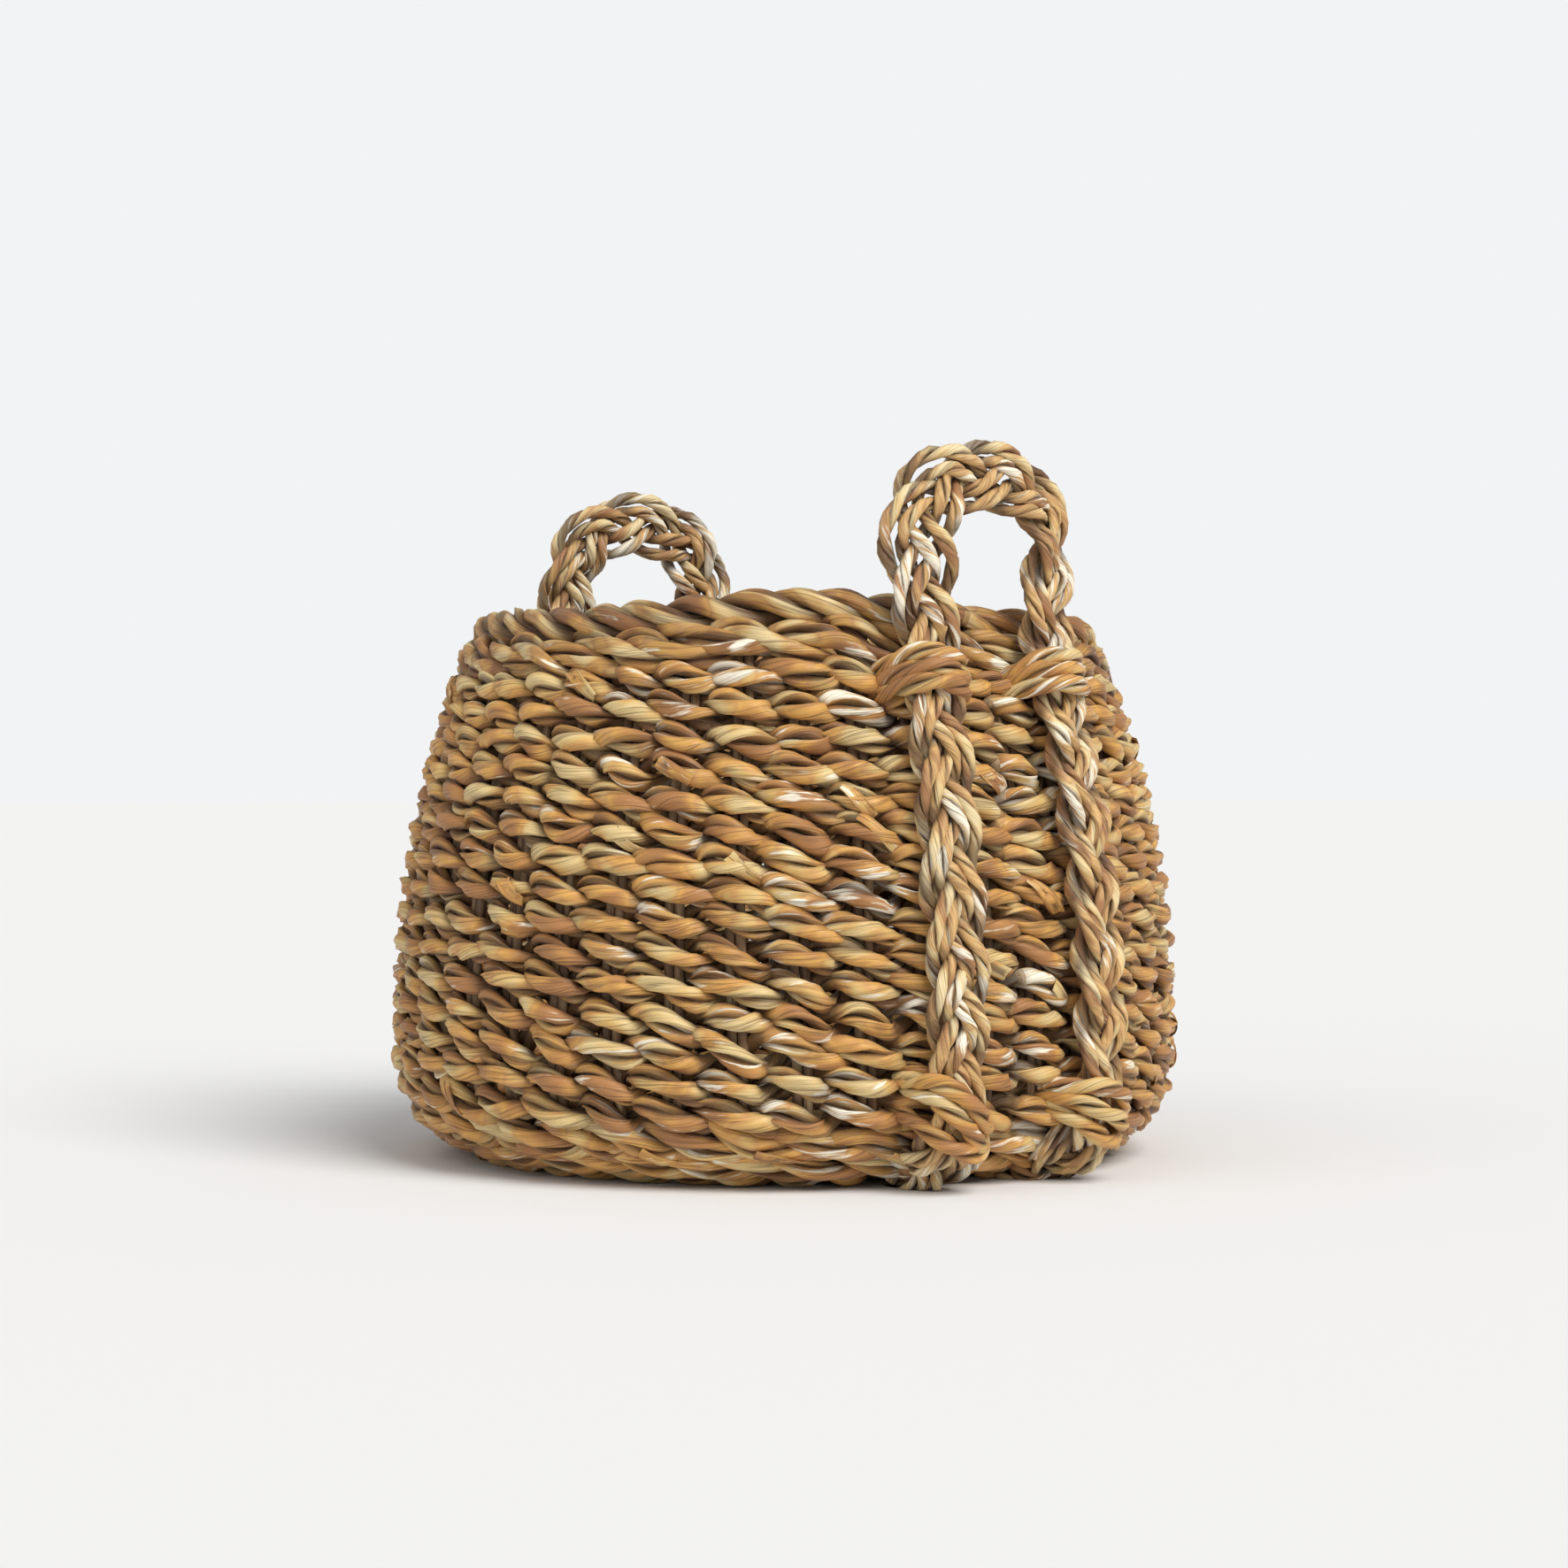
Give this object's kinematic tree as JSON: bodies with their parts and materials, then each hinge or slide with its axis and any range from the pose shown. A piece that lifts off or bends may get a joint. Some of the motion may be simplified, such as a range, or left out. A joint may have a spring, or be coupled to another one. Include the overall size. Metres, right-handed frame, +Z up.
{
  "type": "basket",
  "caption": "Round open seagrass storage basket, twined over radial stakes, with bulging sides, a thick rope rim and plaited carrying loops that tip outward.",
  "frame": {"origin": "middle of the face the basket stands on", "axes": "+Z up through the open mouth, +X through the right handle, +Y round to the side without a handle"},
  "size_m": [0.3302, 0.2968, 0.258],
  "materials": {
    "weaving_cord": "twisted seagrass, satin",
    "rim_cord": "thick twisted seagrass, satin",
    "stake_cord": "thin twisted seagrass, dull",
    "plaited_cord": "plaited seagrass, satin"
  },
  "bodies": {
    "basket": {"base_centre": "weaving_cord", "base_row_01": "weaving_cord", "base_row_02": "weaving_cord", "base_row_03": "weaving_cord", "base_row_04": "weaving_cord", "base_row_05": "weaving_cord", "base_row_06": "weaving_cord", "base_row_07": "weaving_cord", "base_row_08": "weaving_cord", "left_heel_lashing_a": "weaving_cord", "left_heel_lashing_b": "weaving_cord", "left_rim_lashing_a": "weaving_cord", "left_rim_lashing_b": "weaving_cord", "left_strap_a": "plaited_cord", "left_strap_b": "plaited_cord", "long_stakes_back": "stake_cord", "long_stakes_front": "stake_cord", "long_stakes_left": "stake_cord", "long_stakes_right": "stake_cord", "right_heel_lashing_a": "weaving_cord", "right_heel_lashing_b": "weaving_cord", "right_rim_lashing_a": "weaving_cord", "right_rim_lashing_b": "weaving_cord", "right_strap_a": "plaited_cord", "right_strap_b": "plaited_cord", "rim_lower_row": "rim_cord", "rim_rope": "rim_cord", "short_stakes_back": "stake_cord", "short_stakes_front": "stake_cord", "short_stakes_left": "stake_cord", "short_stakes_right": "stake_cord", "wall_row_01": "weaving_cord", "wall_row_02": "weaving_cord", "wall_row_03": "weaving_cord", "wall_row_04": "weaving_cord", "wall_row_05": "weaving_cord", "wall_row_06": "weaving_cord", "wall_row_07": "weaving_cord", "wall_row_08": "weaving_cord", "wall_row_09": "weaving_cord", "wall_row_10": "weaving_cord", "wall_row_11": "weaving_cord", "wall_row_12": "weaving_cord", "wall_row_13": "weaving_cord", "wall_row_14": "weaving_cord", "wall_row_15": "weaving_cord", "wall_row_16": "weaving_cord", "wall_row_17": "weaving_cord", "wall_row_18": "weaving_cord"},
    "right_loop": {"right_handle_loop": "plaited_cord"},
    "left_loop": {"left_handle_loop": "plaited_cord"}
  },
  "joints": [
    {"name": "right_handle_swing", "type": "hinge", "parent": "basket", "child": "right_loop", "pos_m": [0.12758, 0, 0.19254], "axis": [0, 1, 0], "range_deg": [0, 75]},
    {"name": "left_handle_swing", "type": "hinge", "parent": "basket", "child": "left_loop", "pos_m": [-0.12581, 0.0088, 0.19254], "axis": [-0.0698, -0.9976, 0], "range_deg": [0, 75]}
  ]
}
